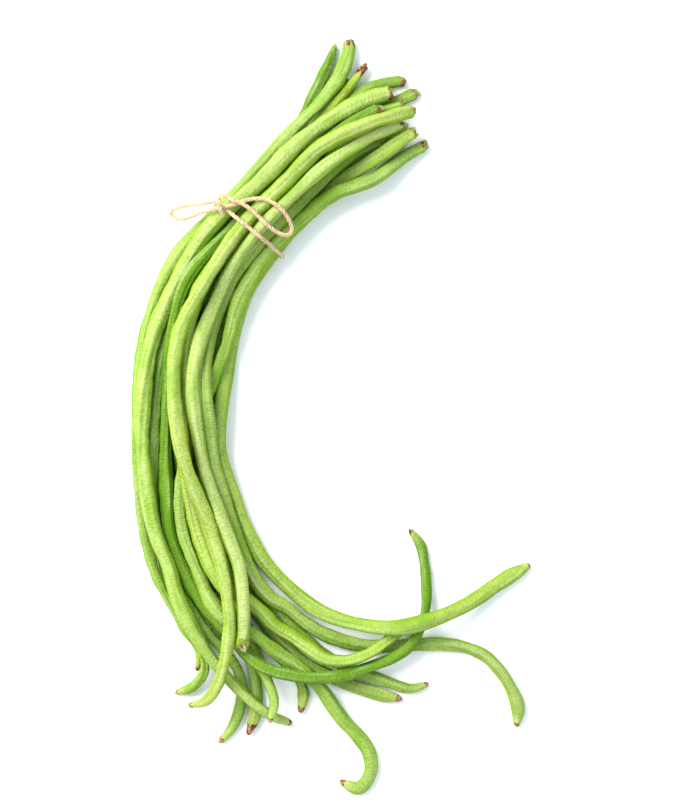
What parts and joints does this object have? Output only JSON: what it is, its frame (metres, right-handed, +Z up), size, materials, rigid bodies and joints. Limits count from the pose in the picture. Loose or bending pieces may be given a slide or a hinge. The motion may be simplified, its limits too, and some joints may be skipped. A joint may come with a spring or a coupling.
{
  "type": "yardlong bean bunch",
  "caption": "Bunch of long slender green bean pods lying in a loose curve over each other, tied near the stem end with one bow of cream twine.",
  "frame": {"origin": "centre of the bunch's outline on the surface it lies on", "axes": "+Z up from the surface, +Y along the bunch towards the stem ends, +X towards the side where some tips curl away"},
  "size_m": [0.2009, 0.3801, 0.0332],
  "materials": {
    "bean_skin": "fresh yellow-green pod skin with a satin sheen, brown tips and rims, faint wrinkles",
    "twine": "soft twisted cream twine"
  },
  "bodies": {
    "root": {"bean_01": "bean_skin", "bean_02": "bean_skin", "bean_03": "bean_skin", "bean_04": "bean_skin", "bean_05": "bean_skin", "bean_06": "bean_skin", "bean_07": "bean_skin", "bean_08": "bean_skin", "bean_09": "bean_skin", "bean_10": "bean_skin", "bean_11": "bean_skin", "bean_12": "bean_skin", "bean_13": "bean_skin", "bean_14": "bean_skin", "bean_15": "bean_skin", "bean_16": "bean_skin", "bean_17": "bean_skin", "twine": "twine"}
  },
  "joints": []
}
